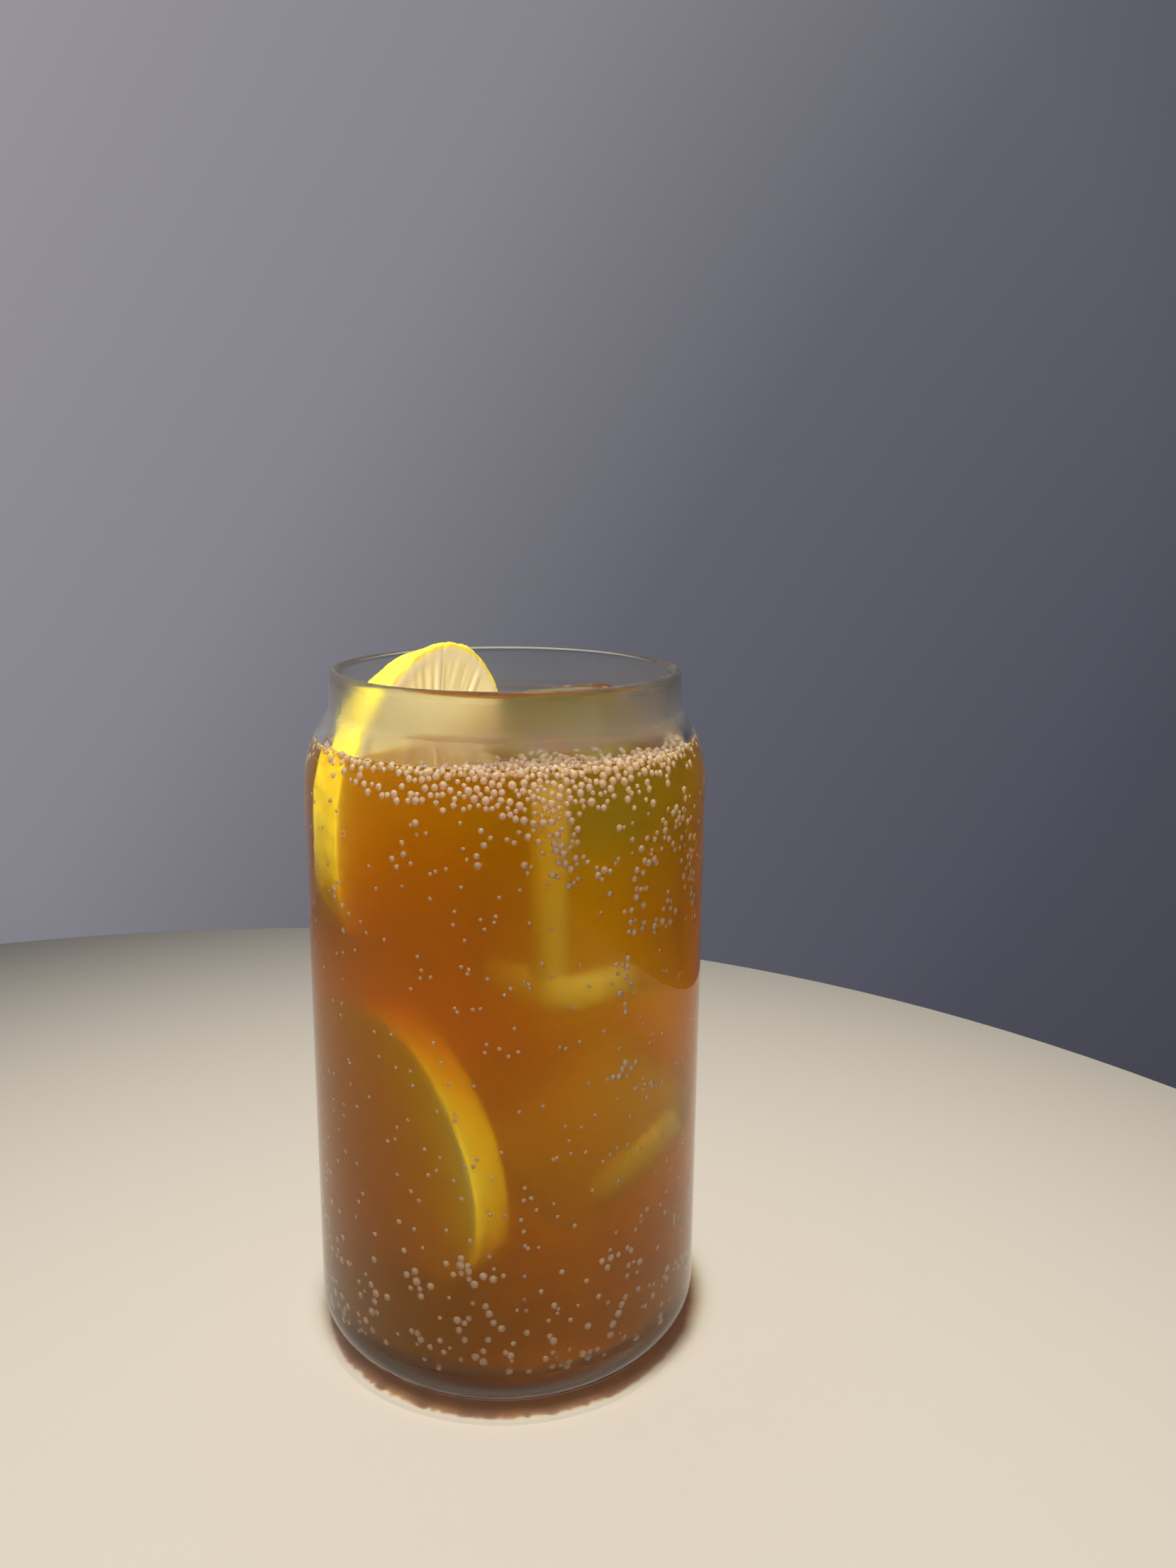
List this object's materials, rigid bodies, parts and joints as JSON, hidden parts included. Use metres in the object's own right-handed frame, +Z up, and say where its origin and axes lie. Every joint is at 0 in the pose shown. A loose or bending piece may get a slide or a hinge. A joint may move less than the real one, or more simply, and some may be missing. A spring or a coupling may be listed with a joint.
{
  "type": "glass of espresso tonic",
  "caption": "Can-shaped drinking glass with a round shoulder and short straight neck, filled with iced espresso tonic, with lumps of ice and a slice of lemon standing out of the drink",
  "frame": {"origin": "centre of the glass's foot, on the surface it stands on", "axes": "+Z up along the glass's axis, -Y towards the drinker, +X to the drinker's right"},
  "size_m": [0.076, 0.076, 0.1377],
  "materials": {
    "clear_glass": "clear, smooth blown glass with a thin film of condensation outside and a fogged neck",
    "espresso_tonic": "clear amber-brown liquid, darker and redder towards the bottom, full of small bubbles",
    "lemon": "fresh lemon: waxy yellow zest with pores, pale pith and wet, translucent flesh",
    "ice": "clear wet ice with melted edges and a few fine bubbles inside"
  },
  "bodies": {
    "root": {"glass": "clear_glass", "drink": "espresso_tonic", "lemon_slice": "lemon", "ice_front": "ice", "ice_back": "ice"}
  },
  "joints": []
}
